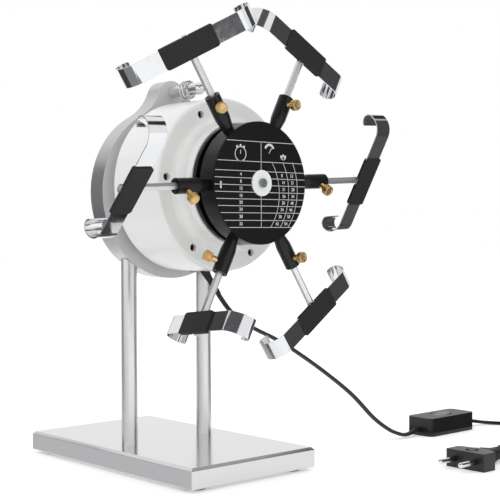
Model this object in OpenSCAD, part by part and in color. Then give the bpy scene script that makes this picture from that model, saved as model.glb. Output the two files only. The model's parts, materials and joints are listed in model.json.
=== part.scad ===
// Six-arm watch winder: a rotor on a geared motor turns six sprung watch holders.
// Millimetres, +Z up, the rotor faces -Y. The origin is the middle of the base on the floor.

/* [Base] */
// Width of the base plate, across the posts
base_w = 120; // [100:1:160]
// Length of the base plate, front to back
base_l = 208; // [170:1:260]
// Thickness of the base plate
base_t = 15; // [12:0.5:24]
// Chamfer round the top of the base
base_chamfer = 2; // [0.5:0.5:4]
// How far the rubber feet lift the base
foot_h = 2.5; // [1.5:0.5:5]
// Diameter of a rubber foot
foot_d = 16; // [10:1:22]
// Distance of a foot's centre from the base's edges
foot_inset = 14; // [12:1:25]

/* [Posts and frame plate] */
// Diameter of a post
post_d = 12.5; // [8:0.5:13]
// Distance between the post centres
post_gap = 74; // [50:1:90]
// Depth of a post in the frame plate
post_depth = 20; // [12:1:26]
// Radius of the round frame plate
plate_r = 66.3; // [60:0.1:80]
// Thickness of the frame plate
plate_t = 16; // [15:0.5:22]
// Height of the frame plate's centre above the floor
plate_z = 211.2; // [190:0.1:240]
// Height of the lobe's centre above the top of the housing shell
lobe_rise = 5.9; // [3:0.1:20]
// Radius of the lobe that carries the stud
lobe_r = 13; // [11:0.1:16]
// Height of the stud above the lobe's centre
stud_rise = 4; // [0:0.1:5]
// Radius of the hollow flanks beside the lobe
flank_r = 40; // [25:1:60]
// Height of the rotor's axis above the plate's centre
axis_rise = 4.6; // [0:0.1:8]

/* [Housing] */
// Outer radius of the housing shell
shell_r = 64.5; // [60:0.1:66]
// Wall of the housing shell
shell_wall = 3; // [2:0.1:4]
// Gap between the frame plate and the shell's rear edge
shell_gap = 12.4; // [8:0.1:16]
// Length of the shell's wide part
shell_l = 51.6; // [46:0.1:70]
// Thickness of the shell's front wall
front_wall = 6; // [5:0.1:8]
// Radius of the boss at its foot
boss_foot_r = 52; // [50:0.1:54]
// Radius of the boss at its front
boss_r = 45.1; // [44:0.1:49]
// How far the boss stands forward
boss_l = 14.5; // [12:0.1:20]
// Radius of the edge rounding on the shell
edge_r = 3; // [1:0.1:5]
// Number of screws in the shell's front
front_screws = 6; // [4:1:8]
// Distance of the front screws from the shell's outer edge
front_screw_inset = 8.5; // [7.5:0.1:9.5]
// Angle of the first front screw
front_screw_turn = -4.5; // [-20:0.5:20]
// Radius of the motor's can
motor_r = 25; // [20:1:32]
// Length of the motor and its gearbox
motor_l = 24; // [18:1:26]
// Diameter of the drive shaft
shaft_d = 8; // [6:0.5:10]

/* [Rotor] */
// Radius of the rotor drum
drum_r = 44.2; // [42:0.1:50]
// Depth of the rotor drum
drum_l = 14.2; // [12:0.1:20]
// Wall of the rotor drum
drum_wall = 3; // [2:0.1:4]
// Thickness of the bearing cap
cap_t = 3.4; // [2.5:0.1:5]
// Gap between the bearing cap and the drum
drum_gap = 5; // [3:0.1:8]
// Radius of the drum's neck in that gap
drum_neck_r = 30; // [16:0.5:33]
// Thickness of the dial plate
dial_t = 1; // [0.8:0.1:2]
// Radius of the hub washer
washer_r = 9.4; // [8:0.1:12]
// Thickness of the hub washer
washer_t = 1.2; // [0.8:0.1:2]

/* [Arms] */
// Turn of the rotor, which sets where the first arm points
arm_turn = 2.9; // [-30:0.1:30]
// Outer diameter of an arm sleeve
sleeve_d = 11.2; // [9:0.1:13]
// Distance of the sleeve's mouth from the rotor's axis
sleeve_end = 71.8; // [68:0.1:76]
// Size of the hexagonal rod across its flats
rod_flat = 4.8; // [4:0.1:6]
// Length of a rod, up to the middle of its holder
rod_l = 60; // [50:1:66]
// Longest distance of a holder from the axis
reach_max = 122; // [119:0.5:126]
// Distance of the clamp screw from the axis
clamp_at = 64.5; // [60:0.1:68]
// Diameter of a clamp screw's knurled head
clamp_head_d = 8; // [6:0.1:10]

/* [Holders] */
// Width of the spring strip
strip_w = 14.4; // [12:0.1:16]
// Thickness of the spring strip
strip_t = 0.8; // [0.5:0.1:1.2]
// Half length of the strip's flat middle
strip_half = 39; // [30:0.5:40]
// Radius of the bend at each end of the flat middle
bend_r = 12.4; // [8:0.1:13]
// Turn of that bend
bend_turn = 90; // [80:1:100]
// Straight length between the bend and the curl
tail_l = 0.2; // [0.1:0.1:3]
// Radius of the end curl
curl_r = 5.3; // [3:0.1:6]
// Turn of the end curl
curl_turn = 152; // [120:1:190]
// Length of the rubber grip
grip_l = 41; // [30:1:48]
// Thickness of the rubber over the strip
grip_t = 1.2; // [0.8:0.1:2]

/* [Switch and plug] */
// Length of the cord switch
switch_l = 62; // [50:1:75]
// Width of the cord switch
switch_w = 28; // [24:1:34]
// Height of the cord switch
switch_h = 16; // [14:0.5:22]
// Width of the plug across its pins
plug_w = 35.3; // [33:0.1:38]
// Thickness of the plug
plug_t = 13.7; // [12:0.1:16]

/* [Hidden] */
$fn = 96;

// Arms run anticlockwise as the camera sees them, the first at three o'clock.
arms = 6;
arm_step = 360 / arms;
// How far each holder is pushed in at rest from its longest distance
pushed_in = [7.3, 11.6, 12.4, 12.2, 11, 8.7];
// Rest twist of each holder about its rod
twist = [32, 3, -32.5, -45, 103, -3.7];
// Direction of each clamp screw about its sleeve, from straight ahead
clamp_dir = [-32, 0, 27, 42, -104, 2];

// Clearances
seat = 0.3;
fit = 0.05;
thread_fit = 0.1;

// Stations along the rotor's axis, measured forwards from the posts' plane
plate_front = plate_t / 2;
shell_back = plate_front + shell_gap;
shell_front = shell_back + shell_l;
boss_front = shell_front + boss_l;
cap_back = boss_front + seat;
cap_front = cap_back + cap_t;
drum_back = cap_front + drum_gap;
drum_front = drum_back + drum_l;
dial_front = drum_front + dial_t;
arm_z = drum_back + drum_l / 2;
axis_z = plate_z + axis_rise;
base_top = foot_h + base_t;

// Mounting flange, carrier and what they hold
flange_t = 4;
spacer_r = 44;
spigot_l = 9.4;
spigot_w = 6;
flange_back = shell_back + 0.2;
flange_front = flange_back + flange_t;
side_screw_z = flange_front + 4;
side_screw_turn = 3;
carrier_t = 4;
front_screw_r = shell_r - front_screw_inset;
block_inset = 14.5;
cap_screw_l = 8.6;
cap_screw_hole_l = 7;
motor_screw_l = 6.5;
motor_screw_out = 8;
motor_plate_t = 3;
motor_boss_l = 6;
motor_blind = 4;
carrier_front = shell_front - front_wall - seat;
carrier_back = carrier_front - carrier_t;
nose_r = boss_r - shell_wall - seat;
nose_wall = 8;
nose_plate = 8;
bush_r = 7;
bush_flange_r = 9;
bush_flange_t = 1.5;
m3_d = 3;
m3_head_r = 2.6;
m3_head_h = 1.6;
m5_d = 5;
m5_head_r = 4.25;
m5_head_h = 5;
m5_l = 20;
cap_screw_r = nose_r - 3.4;
cap_screws_n = 6;
motor_front = carrier_back - 1;
motor_back = motor_front - motor_l;
motor_ear_r = motor_r + 5;
motor_ear_out = motor_screw_out + 4;
motor_ear_w = 14;
motor_boss_r = 9;

// Stud on the lobe
stud_d = 5;
spacer_l = 16;
nut_hex_l = 8;
nut_l = 17.7;
nut_d = 9.6;
nut_bore_l = 11;
lobe_up = axis_rise + shell_r + lobe_rise;
stud_z = plate_z + lobe_up + stud_rise;

// Rods and clamp screws
rod_corner = rod_flat / cos(30);
bore_r = rod_corner / 2 + 0.1;
spigot_d = 3;
rivet_r = 1.8;
ferrule_r = 3;
ferrule_flat = 2.2;
ferrule_l = strip_w + 0.6;
strip_back = ferrule_flat - 0.1;
neck_r = 3.9;
taper_end = 54;
clamp_d = 3;
clamp_tip = rod_corner / 2 + seat;
clamp_head_at = sleeve_d / 2 + 5;
clamp_head_l = 5;

// Cord: a flat two-core lead, its width and its height
cord_w = 5.2;
cord_h = 3.2;
gland_z = 46.5;
gland_tilt = 37;
gland_tail = 22;
switch_x = 232;
switch_y = -63;
split_z = 5.6;
plug_x = 195;
plug_y = -180;
coil_x = 300;
coil_y = -150;
coil_r_out = 37.4;
coil_pitch = 6;
coil_layer = 3.8;
coil_in = 2.5;
coil_climb = 0.5;
coil_out = 2.25;

function on_head(a, r, z) = [r * cos(a), -z, axis_z + r * sin(a)];
gland_root = on_head(-90, shell_r, gland_z);
gland_way = [sin(gland_tilt), 0, -cos(gland_tilt)];
gland_end = gland_root + gland_way * gland_tail;

// From the gland to the switch
lead_route = [gland_end, gland_end + gland_way * cord_w, [27, -44.5, 119.8], [38.5, -43, 112.6],
    [54, -42.5, 104.2], [76.5, -42.5, 94.6], [96, -43.5, 84.4], [127, -46, 65.3], [157.5, -50.5, 43],
    [180.5, -55, 20.8], [194.5, -59.5, 9.8], [205, -61.8, 4.8], [213.5, -62.8, 2.8], [222, -63, 3.8],
    [switch_x - cord_w, switch_y, split_z], [switch_x, switch_y, split_z]];
// The coil's ends, each a straight piece on from its turns
coil_out_r = coil_r_out - coil_pitch * (coil_in - coil_out);
coil_start = [coil_x + coil_r_out, coil_y + cord_w, cord_h / 2];
coil_end = [coil_x - cord_w, coil_y - coil_out_r, cord_h / 2 + coil_layer];
// From the switch to the coil
tail_a = [[switch_x + switch_l, switch_y, split_z], [switch_x + switch_l + cord_w, switch_y, split_z],
    [308, -64, 4.4], [318, -68, 2.6], [326, -75, 1.8], [332, -84, 1.6], [336, -96, 1.6],
    [coil_x + coil_r_out, -112, 1.6], [coil_x + coil_r_out, -132, 1.6],
    coil_start + [0, cord_w, 0], coil_start];
// From the coil to the plug
tail_b = [coil_end, coil_end - [cord_w, 0, 0], [280, -187.6, 5], [270, -188.4, 3],
    [258, -188, 1.6], [240, -185.4, 1.6], [226, -182.6, 3], [213, -180.6, 5.4],
    [plug_x + cord_w, plug_y, plug_t / 2], [plug_x, plug_y, plug_t / 2]];

// Points of a smooth curve through a list of route points, steps per span
function catmull(p, i, t) =
    let (a = p[max(i - 1, 0)], b = p[i], c = p[i + 1], d = p[min(i + 2, len(p) - 1)])
    0.5 * (2 * b + (c - a) * t + (2 * a - 5 * b + 4 * c - d) * t * t
        + (3 * b - a - 3 * c + d) * t * t * t);
function smooth(p, steps) = concat([for (i = [0:len(p) - 2]) for (k = [0:steps - 1])
    catmull(p, i, k / steps)], [p[len(p) - 1]]);
function unit(v) = v / norm(v);
function heading(p, i) = unit(p[min(i + 1, len(p) - 1)] - p[max(i - 1, 0)]);
function span(p, i = 0) = i >= len(p) - 1 ? 0 : norm(p[i + 1] - p[i]) + span(p, i + 1);
// The cord's broad side lies level, square to the way the cord runs.
function broad(t, side) = unit(side - (side * t) * t);
function level(t) = unit(cross([0, 0, 1], t));

// Oval section of a cord, as a list of [broad, high] pairs
function oval(n) = let (turn = n % 4 == 0 ? 180 / n : 0,
        wide = cos(turn), high = max([for (k = [0:n - 1]) sin(360 * k / n + turn)]))
    [for (k = [0:n - 1]) let (a = 360 * k / n + turn)
        [cord_w / 2 * cos(a) / wide, cord_h / 2 * sin(a) / high]];
function rings(path, n, side = [0, 0, 0]) = [for (i = [0:len(path) - 1])
    let (t = heading(path, i), b = norm(side) > 0 ? broad(t, side) : level(t), h = cross(t, b))
    [for (q = oval(n)) path[i] + q[0] * b + q[1] * h]];

// Closed tube through rings of points
module skin(loops) {
    n = len(loops[0]);
    m = len(loops);
    polyhedron(
        points = [for (r = loops) each r],
        faces = concat(
            [[for (k = [0:n - 1]) k]],
            [[for (k = [n - 1:-1:0]) (m - 1) * n + k]],
            [for (i = [0:m - 2]) for (k = [0:n - 1]) each [
                [i * n + k, (i + 1) * n + k, (i + 1) * n + (k + 1) % n],
                [i * n + k, (i + 1) * n + (k + 1) % n, i * n + (k + 1) % n]]]));
}

// Puts a child from the rotor's axis frame, +Z forwards, into the part's frame
module head() { translate([0, 0, axis_z]) rotate([90, 0, 0]) children(); }
// Frame of arm i: +X outwards along the rod, +Z forwards
module arm(i) { head() rotate([0, 0, arm_turn + arm_step * (i - 1)]) translate([0, 0, arm_z]) children(); }
module on_ring(n, r, turn = 0) {
    for (k = [0:n - 1]) rotate([0, 0, turn + k * 360 / n]) translate([r, 0, 0]) children();
}
module tube(r_out, r_in, l) {
    difference() {
        cylinder(r = r_out, h = l);
        translate([0, 0, -1]) cylinder(r = r_in, h = l + 2);
    }
}
// Cross recess for a screw head, cut downwards from z = 0
module cross_cut(r, deep) {
    for (a = [0, 90]) rotate([0, 0, a]) translate([-r, -r * 0.22, -deep]) cube([2 * r, r * 0.44, deep + 1]);
}
// Screw with its head's underside at z = 0 and its shank downwards
module pan_screw(d, l, head_r, head_h) {
    difference() {
        union() {
            translate([0, 0, -l]) cylinder(d = d, h = l + 0.01, $fn = 32);
            cylinder(r = head_r, h = head_h, $fn = 48);
        }
        translate([0, 0, head_h]) cross_cut(head_r * 0.6, head_h * 0.5);
    }
}

module base_plate() {
    color([0.78, 0.78, 0.79]) difference() {
        union() {
            translate([-base_w / 2, -base_l / 2, foot_h]) cube([base_w, base_l, base_t - base_chamfer]);
            intersection() {
                translate([-base_w / 2, -base_l / 2, foot_h]) cube([base_w, base_l, base_t]);
                // Two sloped prisms make the chamfer on all four sides.
                rotate([90, 0, 0]) translate([0, 0, -base_l / 2]) linear_extrude(base_l)
                    chamfer_outline(base_w);
                rotate([90, 0, 90]) translate([0, 0, -base_w / 2]) linear_extrude(base_w)
                    chamfer_outline(base_l);
            }
        }
        for (s = [-1, 1]) translate([s * post_gap / 2, 0, 0]) {
            cylinder(r = m5_head_r + seat, h = foot_h + m5_head_h + 1);
            cylinder(r = m5_d / 2 + seat, h = base_top + 1);
            translate([0, 0, base_top - 1]) cylinder(d = post_d + 2 * fit, h = 2);
        }
        feet_places() cylinder(d = foot_d - 6, h = foot_h + 2, $fn = 48);
    }
}
module chamfer_outline(w) {
    translate([0, foot_h]) polygon([[-w / 2, 0], [w / 2, 0], [w / 2, base_t - base_chamfer],
        [w / 2 - base_chamfer, base_t], [-w / 2 + base_chamfer, base_t], [-w / 2, base_t - base_chamfer]]);
}
module feet_places() {
    for (x = [-1, 1]) for (y = [-1, 1])
        translate([x * (base_w / 2 - foot_inset), y * (base_l / 2 - foot_inset), 0]) children();
}
module rubber_feet() {
    color([0.13, 0.13, 0.13]) feet_places() union() {
        cylinder(d = foot_d, h = foot_h, $fn = 64);
        cylinder(d = foot_d - 6 - 2 * fit, h = foot_h + 1.8, $fn = 48);
    }
}
post_top = plate_z - sqrt(plate_r * plate_r - post_gap * post_gap / 4) + post_depth;
module post(s) {
    color([0.82, 0.82, 0.83]) translate([s * post_gap / 2, 0, base_top - 1]) difference() {
        cylinder(d = post_d, h = post_top - base_top + 1);
        translate([0, 0, -1]) cylinder(d = m5_d + 2 * thread_fit, h = m5_l - 4, $fn = 32);
    }
}
module post_left() { post(-1); }
module post_right() { post(1); }

module socket_screw() {
    difference() {
        union() {
            translate([0, 0, -m5_head_h]) cylinder(r = m5_head_r, h = m5_head_h, $fn = 48);
            cylinder(d = m5_d, h = m5_l, $fn = 32);
        }
        translate([0, 0, -m5_head_h - 1]) cylinder(r = m5_d * 0.46, h = 1 + m5_head_h * 0.6, $fn = 6);
    }
}
flange_screw_r = 30;
module frame_screws() {
    color([0.45, 0.45, 0.47]) {
        for (s = [-1, 1]) translate([s * post_gap / 2, 0, foot_h + m5_head_h + 1]) socket_screw();
        head() on_ring(3, flange_screw_r, 90) translate([0, 0, -plate_front + m5_head_h + 0.5]) socket_screw();
    }
}

// Outline of the frame plate: a disc and a lobe, joined by hollow flanks
flank_y = ((plate_r + flank_r) ^ 2 - (lobe_r + flank_r) ^ 2 + lobe_up ^ 2) / (2 * lobe_up);
flank_x = sqrt((plate_r + flank_r) ^ 2 - flank_y ^ 2);
module plate_outline() {
    touch_disc = [flank_x, flank_y] * plate_r / (plate_r + flank_r);
    touch_lobe = [0, lobe_up] + [flank_x, flank_y - lobe_up] * lobe_r / (lobe_r + flank_r);
    circle(r = plate_r, $fn = 180);
    translate([0, lobe_up]) circle(r = lobe_r, $fn = 96);
    difference() {
        polygon([[0, 0], touch_disc, touch_lobe, [0, lobe_up], [-touch_lobe[0], touch_lobe[1]],
            [-touch_disc[0], touch_disc[1]]]);
        for (s = [-1, 1]) translate([s * flank_x, flank_y]) circle(r = flank_r, $fn = 180);
    }
}
module frame_plate() {
    color([0.74, 0.74, 0.75]) difference() {
        translate([0, 0, plate_z]) rotate([90, 0, 0]) translate([0, 0, -plate_front])
            linear_extrude(plate_t) plate_outline();
        for (s = [-1, 1]) translate([s * post_gap / 2, 0, plate_z - plate_r - 5])
            cylinder(d = post_d + 2 * fit, h = post_top - plate_z + plate_r + 5 + seat);
        head() on_ring(3, flange_screw_r, 90) translate([0, 0, -plate_front]) {
            translate([0, 0, -1]) cylinder(r = m5_head_r + seat, h = m5_head_h + 1.5, $fn = 48);
            cylinder(r = m5_d / 2 + seat, h = plate_t + 1, $fn = 48);
        }
        translate([0, -plate_front - 1, stud_z]) rotate([-90, 0, 0])
            cylinder(d = stud_d + 2 * thread_fit, h = plate_t + 2, $fn = 48);
    }
}
module mounting_flange() {
    color([0.80, 0.80, 0.80]) head() difference() {
        union() {
            translate([0, 0, plate_front]) cylinder(r = spacer_r, h = flange_back - plate_front + 1);
            translate([0, 0, flange_back]) cylinder(r = shell_r - shell_wall - 0.2, h = flange_t + spigot_l);
        }
        translate([0, 0, flange_front]) cylinder(r = shell_r - shell_wall - spigot_w, h = spigot_l + 1);
        on_ring(3, flange_screw_r, 90) translate([0, 0, plate_front - 1])
            cylinder(d = m5_d + 2 * thread_fit, h = m5_l - plate_t + m5_head_h + 2, $fn = 32);
        side_screw_places() translate([0, 0, -8]) cylinder(d = m3_d + 2 * thread_fit, h = 9, $fn = 32);
    }
}
// Frames on the shell's side, +Z outwards
module side_screw_places() {
    for (k = [0:3]) rotate([0, 0, side_screw_turn + 90 * k]) translate([shell_r, 0, side_screw_z])
        rotate([0, 90, 0]) children();
}
module housing_shell() {
    in_r = shell_r - shell_wall;
    boss_in = boss_r - shell_wall;
    color([0.93, 0.93, 0.93]) difference() {
        head() difference() {
            rotate_extrude($fn = 180) shell_outline();
            translate([0, 0, shell_back - 1]) cylinder(r = in_r, h = shell_l - front_wall + 1);
            translate([0, 0, shell_front - front_wall - 1]) cylinder(r = boss_in, h = boss_l + front_wall + 2);
            side_screw_places() translate([0, 0, -shell_wall - 2])
                cylinder(r = m3_d / 2 + seat, h = shell_wall + 3, $fn = 32);
            on_ring(front_screws, front_screw_r, front_screw_turn) {
                translate([0, 0, shell_front - front_wall - 1]) cylinder(r = m3_d / 2 + seat, h = 9, $fn = 32);
                translate([0, 0, shell_front - front_wall + 1.5]) cylinder(r = m3_head_r + 0.2, h = 9, $fn = 48);
            }
        }
        gland_frame() translate([0, 0, -12]) cylinder(r = gland_r + fit, h = 16, $fn = 48);
    }
}
// Half section of the shell's outside: a can, a raised boss and rounded edges
shoulder_h = 6.5;
shoulder_foot = 1.1;
module shell_outline() {
    shoulder_w = boss_foot_r - boss_r - shoulder_foot;
    polygon(concat(
        [[0, shell_back], [shell_r, shell_back]],
        [for (a = [0:15:90]) [shell_r - edge_r + edge_r * cos(a), shell_front - edge_r + edge_r * sin(a)]],
        [for (a = [0:15:90]) [boss_foot_r + shoulder_foot * (1 - 2 * sin(a)),
            shell_front + shoulder_foot * (1 - cos(a))]],
        [for (a = [15:15:90]) [boss_r + shoulder_w * cos(a), shell_front + shoulder_foot + shoulder_h * sin(a)]],
        [[boss_r, boss_front], [0, boss_front]]));
}
module shell_side_screws() {
    color([0.6, 0.6, 0.62]) head() side_screw_places() pan_screw(m3_d, 7, m3_head_r, m3_head_h);
}
module shell_front_screws() {
    color([0.25, 0.2, 0.18]) head() on_ring(front_screws, front_screw_r, front_screw_turn)
        translate([0, 0, shell_front - front_wall + 1.5]) pan_screw(m3_d, 5.2, m3_head_r, m3_head_h);
}
module bearing_carrier() {
    color([0.7, 0.7, 0.72]) head() difference() {
        union() {
            translate([0, 0, carrier_back]) cylinder(r = shell_r - shell_wall - seat, h = carrier_t);
            translate([0, 0, carrier_back]) cylinder(r = nose_r, h = boss_front - carrier_back);
        }
        translate([0, 0, carrier_back - 1])
            cylinder(r = nose_r - nose_wall, h = boss_front - carrier_back - nose_plate + 1);
        translate([0, 0, carrier_back]) cylinder(r = bush_r + fit, h = boss_front - carrier_back + 1, $fn = 64);
        translate([0, 0, boss_front - bush_flange_t]) cylinder(r = bush_flange_r + seat, h = 5, $fn = 64);
        on_ring(front_screws, front_screw_r, front_screw_turn) translate([0, 0, carrier_back - 1])
            cylinder(d = m3_d + 2 * thread_fit, h = carrier_t + 2, $fn = 32);
        on_ring(cap_screws_n, cap_screw_r) translate([0, 0, boss_front - cap_screw_hole_l])
            cylinder(d = m3_d + 2 * thread_fit, h = cap_screw_hole_l + 1, $fn = 32);
        for (s = [-1, 1]) translate([s * (motor_ear_r + motor_screw_out), 0, carrier_back - 1])
            cylinder(d = m3_d + 2 * thread_fit, h = motor_screw_l + 1.5, $fn = 32);
    }
}
module shaft_bush() {
    color([0.72, 0.53, 0.3]) head() difference() {
        union() {
            translate([0, 0, boss_front - nose_plate]) cylinder(r = bush_r, h = nose_plate, $fn = 64);
            translate([0, 0, boss_front - bush_flange_t]) cylinder(r = bush_flange_r, h = bush_flange_t, $fn = 64);
        }
        translate([0, 0, boss_front - nose_plate - 1])
            cylinder(d = shaft_d + 2 * fit, h = nose_plate + 2, $fn = 64);
    }
}
module bearing_cap() {
    color([0.09, 0.09, 0.09]) head() difference() {
        translate([0, 0, cap_back]) cylinder(r = boss_r - 0.9, h = cap_t);
        translate([0, 0, cap_back - 1]) cylinder(r = shaft_d / 2 + 1, h = cap_t + 2, $fn = 64);
        on_ring(cap_screws_n, cap_screw_r) translate([0, 0, cap_back - 1])
            cylinder(r = m3_d / 2 + seat, h = cap_t + 2, $fn = 32);
    }
}
module cap_screws() {
    color([0.8, 0.8, 0.8]) head() on_ring(cap_screws_n, cap_screw_r)
        translate([0, 0, cap_front]) pan_screw(m3_d, cap_screw_l, m3_head_r, m3_head_h);
}
module gear_motor() {
    color([0.55, 0.56, 0.58]) head() difference() {
        union() {
            translate([0, 0, motor_back]) cylinder(r = motor_r, h = motor_l);
            translate([-motor_ear_r - motor_ear_out, -motor_ear_w / 2, motor_front - 2])
                cube([2 * (motor_ear_r + motor_ear_out), motor_ear_w, motor_plate_t]);
            translate([0, 0, motor_front - 1]) cylinder(r = motor_boss_r, h = motor_boss_l, $fn = 64);
        }
        translate([0, 0, motor_back + motor_blind])
            cylinder(d = shaft_d + 2 * fit, h = motor_l + motor_boss_l + 3, $fn = 64);
        for (s = [-1, 1]) translate([s * (motor_ear_r + motor_screw_out), 0, motor_front - motor_plate_t - 2])
            cylinder(r = m3_d / 2 + seat, h = 3 * motor_plate_t, $fn = 32);
    }
}
module motor_screws() {
    color([0.6, 0.6, 0.62]) head() for (s = [-1, 1])
        translate([s * (motor_ear_r + motor_screw_out), 0, motor_front - 2])
            rotate([180, 0, 0]) pan_screw(m3_d, motor_screw_l, m3_head_r, m3_head_h);
}
module drive_shaft() {
    color([0.75, 0.75, 0.76]) head() difference() {
        translate([0, 0, motor_back + motor_blind + seat])
            cylinder(d = shaft_d, h = drum_front - motor_back - motor_blind - seat, $fn = 64);
        translate([0, 0, drum_front - 12]) cylinder(d = 4 + 2 * thread_fit, h = 13, $fn = 32);
    }
}
hub_r = 12;
neck_gap = 0.8;
module rotor_drum() {
    color([0.1, 0.1, 0.1]) head() difference() {
        union() {
            translate([0, 0, drum_back]) cylinder(r = drum_r, h = drum_l, $fn = 180);
            translate([0, 0, cap_front + neck_gap]) cylinder(r = drum_neck_r, h = drum_gap);
        }
        translate([0, 0, drum_back + drum_wall]) tube(drum_r - drum_wall, hub_r, drum_l);
        translate([0, 0, cap_front]) cylinder(d = shaft_d + 2 * fit, h = drum_l + drum_gap + 5, $fn = 64);
        on_ring(arms, 0, arm_turn) translate([drum_r - drum_wall - 3, 0, arm_z])
            rotate([0, 90, 0]) cylinder(r = neck_r + fit, h = drum_wall + 6, $fn = 48);
    }
}
module dial_plate() {
    color([0.06, 0.06, 0.06]) head() translate([0, 0, drum_front])
        tube(drum_r, 2.3, dial_t, $fn = 180);
}
module hub_washer() {
    color([0.95, 0.95, 0.95]) head() translate([0, 0, dial_front]) tube(washer_r, 2.3, washer_t);
}
module hub_screw() {
    color([0.7, 0.7, 0.72]) head() translate([0, 0, dial_front + washer_t]) pan_screw(4, 12, 3.3, 1.8);
}
module sleeve(dir) {
    difference() {
        union() {
            translate([drum_r - drum_wall, 0, 0]) rotate([0, 90, 0]) cylinder(r = neck_r, h = 8, $fn = 64);
            translate([drum_r + seat, 0, 0]) rotate([0, 90, 0])
                cylinder(r1 = neck_r + 0.2, r2 = sleeve_d / 2, h = taper_end - drum_r - seat, $fn = 64);
            translate([taper_end, 0, 0]) rotate([0, 90, 0])
                cylinder(d = sleeve_d, h = sleeve_end - taper_end, $fn = 64);
        }
        translate([drum_r - drum_wall - 1, 0, 0]) rotate([0, 90, 0])
            cylinder(r = bore_r, h = sleeve_end, $fn = 64);
        translate([sleeve_end - 1.6, 0, 0]) rotate([0, 90, 0])
            cylinder(r1 = bore_r, r2 = bore_r + 2.2, h = 2.2, $fn = 64);
        translate([clamp_at, 0, 0]) rotate([dir, 0, 0])
            cylinder(d = clamp_d + 2 * thread_fit, h = sleeve_d, $fn = 32);
    }
}
module arm_sleeves() {
    color([0.12, 0.12, 0.12]) for (i = [1:arms]) arm(i) sleeve(-clamp_dir[i - 1]);
}
module clamp_screw(i) {
    color([0.80, 0.62, 0.28]) arm(i) translate([clamp_at, 0, 0]) rotate([-clamp_dir[i - 1], 0, 0]) union() {
        translate([0, 0, clamp_tip]) cylinder(d = clamp_d, h = clamp_head_at - clamp_tip + 1, $fn = 48);
        translate([0, 0, sleeve_d / 2 + seat + 0.4])
            cylinder(d = clamp_d + 1.6, h = clamp_head_at - sleeve_d / 2 - seat, $fn = 48);
        translate([0, 0, clamp_head_at]) cylinder(d = clamp_head_d, h = clamp_head_l, $fn = 64);
    }
}
module clamp_screw_1() { clamp_screw(1); }
module clamp_screw_2() { clamp_screw(2); }
module clamp_screw_3() { clamp_screw(3); }
module clamp_screw_4() { clamp_screw(4); }
module clamp_screw_5() { clamp_screw(5); }
module clamp_screw_6() { clamp_screw(6); }

// Rod: a hexagon bar whose end is turned down, passes through the holder and is riveted over
module rod(i) {
    r = reach[i - 1];
    shoulder = r - ferrule_l / 2 - seat;
    color([0.8, 0.8, 0.8]) arm(i) {
        translate([r - rod_l, 0, 0]) rotate([0, 90, 0])
            cylinder(d = rod_corner, h = shoulder - r + rod_l, $fn = 6);
        translate([shoulder - 1, 0, 0]) rotate([0, 90, 0])
            cylinder(d = spigot_d, h = ferrule_l + 2 * seat + 2, $fn = 48);
        translate([r + ferrule_l / 2 + seat, 0, 0]) rotate([0, 90, 0])
            cylinder(r = rivet_r, h = 1, $fn = 48);
    }
}
module rod_1() { rod(1); }
module rod_2() { rod(2); }
module rod_3() { rod(3); }
module rod_4() { rod(4); }
module rod_5() { rod(5); }
module rod_6() { rod(6); }

// Frame of holder i: +X outwards along the rod, +Y along the strip, +Z to the strip's front
module holder(i) { arm(i) translate([reach[i - 1], 0, 0]) rotate([twist[i - 1], 0, 0]) children(); }
// Points on an arc, from angle a down to angle b
function arc(c, r, a, b) = let (n = ceil((a - b) / 9))
    [for (k = [0:n]) let (g = a + (b - a) * k / n) c + r * [cos(g), sin(g)]];
function flipped(p) = [for (k = [len(p) - 1:-1:0]) p[k]];
function mirrored(p) = [for (q = p) [-q[0], q[1]]];
// Side view of one half of the strip, side = 1 for its outer face and -1 for its inner one
bend_c = [strip_half, -bend_r];
bend_end = 90 - bend_turn;
tail_end = bend_c + bend_r * [cos(bend_end), sin(bend_end)] + tail_l * [sin(bend_end), -cos(bend_end)];
curl_c = tail_end - curl_r * [cos(bend_end), sin(bend_end)];
// A holder turns freely about its rod, so it stays in its own sector of the rotor.
sweep_r = norm(curl_c + [0, strip_back + strip_t / 2]) + curl_r + strip_t / 2;
reach_min = ceil(strip_w / 2 + sweep_r / tan(arm_step / 2) + seat);
reach = [for (p = pushed_in) max(reach_min, reach_max - p)];
function strip_face(side) = concat(
    arc(bend_c, bend_r + side * strip_t / 2, 90, bend_end),
    arc(curl_c, curl_r + side * strip_t / 2, bend_end, bend_end - curl_turn));
module strip_outline() {
    half = concat(strip_face(1), flipped(strip_face(-1)));
    polygon(concat(half, flipped(mirrored(half))));
}
module strip(i) {
    color([0.7, 0.7, 0.7]) holder(i) difference() {
        union() {
            translate([-strip_w / 2, 0, strip_back + strip_t / 2]) rotate([90, 0, 90])
                linear_extrude(strip_w) strip_outline();
            // Ferrule on the strip's back, with a flat where it meets the strip
            difference() {
                translate([-ferrule_l / 2, 0, 0]) rotate([0, 90, 0]) cylinder(r = ferrule_r, h = ferrule_l, $fn = 64);
                translate([-ferrule_l, -5, ferrule_flat]) cube([2 * ferrule_l, 10, 10]);
            }
        }
        translate([-ferrule_l, 0, 0]) rotate([0, 90, 0])
            cylinder(d = spigot_d + 2 * fit, h = 2 * ferrule_l, $fn = 48);
    }
}
module strip_1() { strip(1); }
module strip_2() { strip(2); }
module strip_3() { strip(3); }
module strip_4() { strip(4); }
module strip_5() { strip(5); }
module strip_6() { strip(6); }

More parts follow.
